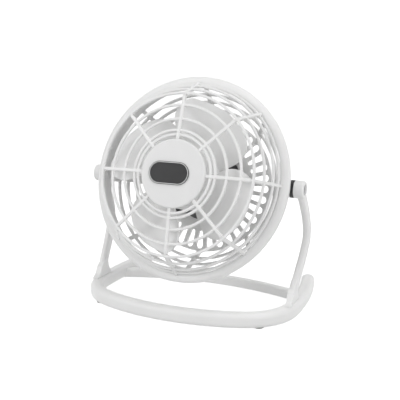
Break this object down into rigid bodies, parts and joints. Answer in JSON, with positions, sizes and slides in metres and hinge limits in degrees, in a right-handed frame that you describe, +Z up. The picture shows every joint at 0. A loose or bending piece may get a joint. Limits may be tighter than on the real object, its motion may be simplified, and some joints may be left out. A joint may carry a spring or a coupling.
{
  "type": "desk fan",
  "caption": "Small desk fan with a round guarded head that tilts between two bent arms on an open loop base.",
  "frame": {"origin": "centre of the footprint on the table", "axes": "+Z up, the front of the fan faces -Y, the tilt axis runs along X"},
  "size_m": [0.1526, 0.1064, 0.1526],
  "materials": {
    "shell_plastic": "satin",
    "badge_plastic": "gloss",
    "black_plastic": "matt",
    "soft_rubber": "matt",
    "steel": "satin",
    "brass": "satin",
    "copper": "satin",
    "bronze": "matt",
    "ferrite": "matt"
  },
  "bodies": {
    "stand": {"base_frame": "shell_plastic", "right_arm": "shell_plastic", "left_arm": "shell_plastic", "foot_pads": "soft_rubber", "pivot_washers": "black_plastic"},
    "head": {"front_rim": "shell_plastic", "front_side": "shell_plastic", "front_face": "shell_plastic", "grille_cap": "shell_plastic", "badge_plate": "badge_plastic", "rear_collar": "shell_plastic", "rear_side": "shell_plastic", "rear_plate": "shell_plastic", "rim_clips": "shell_plastic", "motor_housing": "black_plastic", "motor_can": "steel", "motor_magnets": "ferrite", "motor_end_cap": "black_plastic", "motor_bushes": "bronze", "motor_brushes": "ferrite", "motor_terminals": "brass", "motor_screws": "steel", "rear_cover": "shell_plastic", "cover_screws": "steel", "switch_housing": "black_plastic", "switch_terminals": "brass", "cord_gland": "soft_rubber", "pivot_inserts": "brass", "pivot_screws": "steel"},
    "rotor": {"fan_rotor": "shell_plastic", "motor_shaft": "steel", "armature_core": "steel", "armature_windings": "copper", "commutator": "copper"},
    "switch": {"switch_rocker": "black_plastic"}
  },
  "joints": [
    {"name": "head_tilt", "type": "hinge", "parent": "stand", "child": "head", "pos_m": [0, -0.00502, 0.08419], "axis": [-1, 0, 0], "range_deg": [-42.5, 72.5]},
    {"name": "fan_spin", "type": "hinge", "parent": "head", "child": "rotor", "pos_m": [0, -0.02191, 0.08951], "axis": [0, -0.9537, 0.3007], "continuous": true},
    {"name": "switch_rock", "type": "hinge", "parent": "head", "child": "switch", "pos_m": [0, 0.0323, 0.08186], "axis": [0, 0.3007, 0.9537], "range_deg": [-16, 0]}
  ]
}
